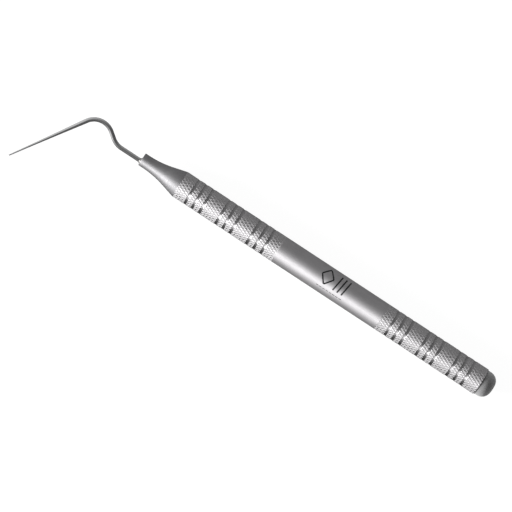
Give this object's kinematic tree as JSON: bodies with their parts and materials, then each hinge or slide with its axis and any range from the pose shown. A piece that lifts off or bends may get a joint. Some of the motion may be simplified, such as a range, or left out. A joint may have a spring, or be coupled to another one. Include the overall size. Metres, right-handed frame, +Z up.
{
  "type": "hooked dental spreader",
  "caption": "Single-ended hand instrument with a hollow knurled steel handle, a flared nose and a double-bent wire ground to a long tapered point.",
  "frame": {"origin": "under the centre of the box, on the surface the tool lies on", "axes": "+X along the handle from nose to butt, +Z up from the surface; the point bends towards -Y"},
  "size_m": [0.1748, 0.0278, 0.0095],
  "materials": {
    "handle_steel": "satin, turned",
    "nose_steel": "satin, turned",
    "silver_braze": "as brazed",
    "point_steel": "ground and polished",
    "plug_plastic": "moulded, matt"
  },
  "bodies": {
    "root": {"handle_tube": "handle_steel", "nose_cone": "nose_steel", "braze_ring": "silver_braze", "point": "point_steel", "butt_plug": "plug_plastic"}
  },
  "joints": []
}
